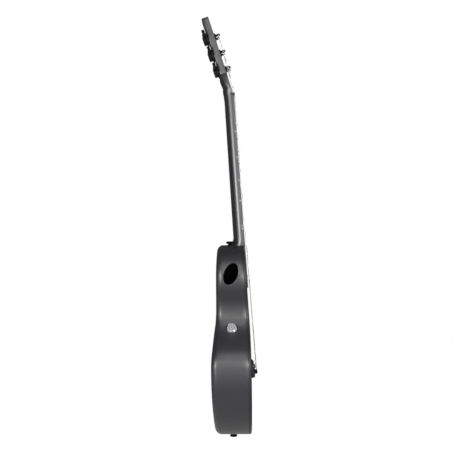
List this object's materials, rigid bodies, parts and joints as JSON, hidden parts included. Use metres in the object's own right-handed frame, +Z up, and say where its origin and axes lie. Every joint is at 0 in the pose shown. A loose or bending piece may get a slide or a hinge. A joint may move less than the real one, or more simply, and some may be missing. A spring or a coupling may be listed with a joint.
{
  "type": "acoustic-electric guitar",
  "caption": "Small-bodied acoustic-electric guitar with a one-piece moulded body, oval side port, pinned bridge, turning tuners and a side volume knob.",
  "frame": {"origin": "the nut's edge where the strings start, on the centre line, in the plane of the fretboard's face", "axes": "+Z up towards the headstock, +X forwards out of the soundboard, -Y the bass side"},
  "size_m": [0.1228, 0.336, 0.9245],
  "materials": {
    "satin_shell": "satin dark grey moulded composite",
    "black_gloss": "black, polished",
    "black_metal": "black plated die cast",
    "fretboard": "satin black composite with steel frets",
    "steel": "plain and wound steel",
    "silver_knob": "satin silver with a bright rim",
    "bone": "bone white, smooth",
    "brass": "plain",
    "wood": "bare, straight grain",
    "black_plastic": "matt black",
    "battery": "printed-free sleeve, satin"
  },
  "bodies": {
    "guitar": {"battery": "battery", "battery_tray": "black_plastic", "body_shell": "satin_shell", "bridge": "black_gloss", "bridge_pin_1": "black_gloss", "bridge_pin_2": "black_gloss", "bridge_pin_3": "black_gloss", "bridge_pin_4": "black_gloss", "bridge_pin_5": "black_gloss", "bridge_pin_6": "black_gloss", "bridge_plate": "wood", "end_block": "wood", "end_strap_button": "black_gloss", "fretboard": "fretboard", "heel_bolt_1": "steel", "heel_bolt_2": "steel", "jack_lead": "black_plastic", "jack_nut": "steel", "neck": "satin_shell", "neck_block": "wood", "neck_strap_button": "black_gloss", "nut": "black_gloss", "output_jack": "steel", "pickup_lead": "black_plastic", "pot_nut": "steel", "potentiometer": "steel", "preamp": "black_plastic", "saddle": "bone", "saddle_pickup": "brass", "soundboard": "satin_shell", "string_1": "steel", "string_2": "steel", "string_3": "steel", "string_4": "steel", "string_5": "steel", "string_6": "steel", "top_bracing": "wood", "truss_rod": "steel", "tuner_housing_1": "black_metal", "tuner_housing_2": "black_metal", "tuner_housing_3": "black_metal", "tuner_housing_4": "black_metal", "tuner_housing_5": "black_metal", "tuner_housing_6": "black_metal"},
    "volume_knob": {"control_knob": "silver_knob", "pot_shaft": "steel"},
    "truss_rod_nut": {"truss_rod_nut": "brass"},
    "button_1": {"tuner_button_1": "black_gloss"},
    "button_2": {"tuner_button_2": "black_gloss"},
    "button_3": {"tuner_button_3": "black_gloss"},
    "button_4": {"tuner_button_4": "black_gloss"},
    "button_5": {"tuner_button_5": "black_gloss"},
    "button_6": {"tuner_button_6": "black_gloss"},
    "post_1": {"tuner_post_1": "black_metal"},
    "post_2": {"tuner_post_2": "black_metal"},
    "post_3": {"tuner_post_3": "black_metal"},
    "post_4": {"tuner_post_4": "black_metal"},
    "post_5": {"tuner_post_5": "black_metal"},
    "post_6": {"tuner_post_6": "black_metal"}
  },
  "joints": [
    {"name": "button_1_turn", "type": "hinge", "parent": "guitar", "child": "button_1", "pos_m": [-0.04214, 0.023, 0.05693], "axis": [0, 1, 0], "continuous": true},
    {"name": "post_1_turn", "type": "hinge", "parent": "guitar", "child": "post_1", "pos_m": [-0.01928, 0.023, 0.0566], "axis": [0.9494, 0, 0.314], "continuous": true},
    {"name": "button_2_turn", "type": "hinge", "parent": "guitar", "child": "button_2", "pos_m": [-0.05388, 0.023, 0.09244], "axis": [0, 1, 0], "continuous": true},
    {"name": "post_2_turn", "type": "hinge", "parent": "guitar", "child": "post_2", "pos_m": [-0.03102, 0.023, 0.09211], "axis": [0.9494, 0, 0.314], "continuous": true},
    {"name": "button_3_turn", "type": "hinge", "parent": "guitar", "child": "button_3", "pos_m": [-0.06563, 0.023, 0.12795], "axis": [0, 1, 0], "continuous": true},
    {"name": "post_3_turn", "type": "hinge", "parent": "guitar", "child": "post_3", "pos_m": [-0.04276, 0.023, 0.12761], "axis": [0.9494, 0, 0.314], "continuous": true},
    {"name": "button_4_turn", "type": "hinge", "parent": "guitar", "child": "button_4", "pos_m": [-0.06563, -0.023, 0.12795], "axis": [0, -1, 0], "continuous": true},
    {"name": "post_4_turn", "type": "hinge", "parent": "guitar", "child": "post_4", "pos_m": [-0.04276, -0.023, 0.12761], "axis": [0.9494, 0, 0.314], "continuous": true},
    {"name": "button_5_turn", "type": "hinge", "parent": "guitar", "child": "button_5", "pos_m": [-0.05388, -0.023, 0.09244], "axis": [0, -1, 0], "continuous": true},
    {"name": "post_5_turn", "type": "hinge", "parent": "guitar", "child": "post_5", "pos_m": [-0.03102, -0.023, 0.09211], "axis": [0.9494, 0, 0.314], "continuous": true},
    {"name": "button_6_turn", "type": "hinge", "parent": "guitar", "child": "button_6", "pos_m": [-0.04214, -0.023, 0.05693], "axis": [0, -1, 0], "continuous": true},
    {"name": "post_6_turn", "type": "hinge", "parent": "guitar", "child": "post_6", "pos_m": [-0.01928, -0.023, 0.0566], "axis": [0.9494, 0, 0.314], "continuous": true},
    {"name": "volume_turn", "type": "hinge", "parent": "guitar", "child": "volume_knob", "pos_m": [-0.0055, -0.11459, -0.505], "axis": [0, -0.8217, 0.57], "range_deg": [0, 270]},
    {"name": "truss_nut_turn", "type": "hinge", "parent": "guitar", "child": "truss_rod_nut", "pos_m": [0.00774, 0, -0.30657], "axis": [0.0741, 0, -0.9973], "range_deg": [-180, 180]}
  ],
  "couplings": [
    {"joint": "post_1_turn", "follows": "button_1_turn", "ratio": 0.066667},
    {"joint": "post_2_turn", "follows": "button_2_turn", "ratio": 0.066667},
    {"joint": "post_3_turn", "follows": "button_3_turn", "ratio": 0.066667},
    {"joint": "post_4_turn", "follows": "button_4_turn", "ratio": -0.066667},
    {"joint": "post_5_turn", "follows": "button_5_turn", "ratio": -0.066667},
    {"joint": "post_6_turn", "follows": "button_6_turn", "ratio": -0.066667}
  ]
}
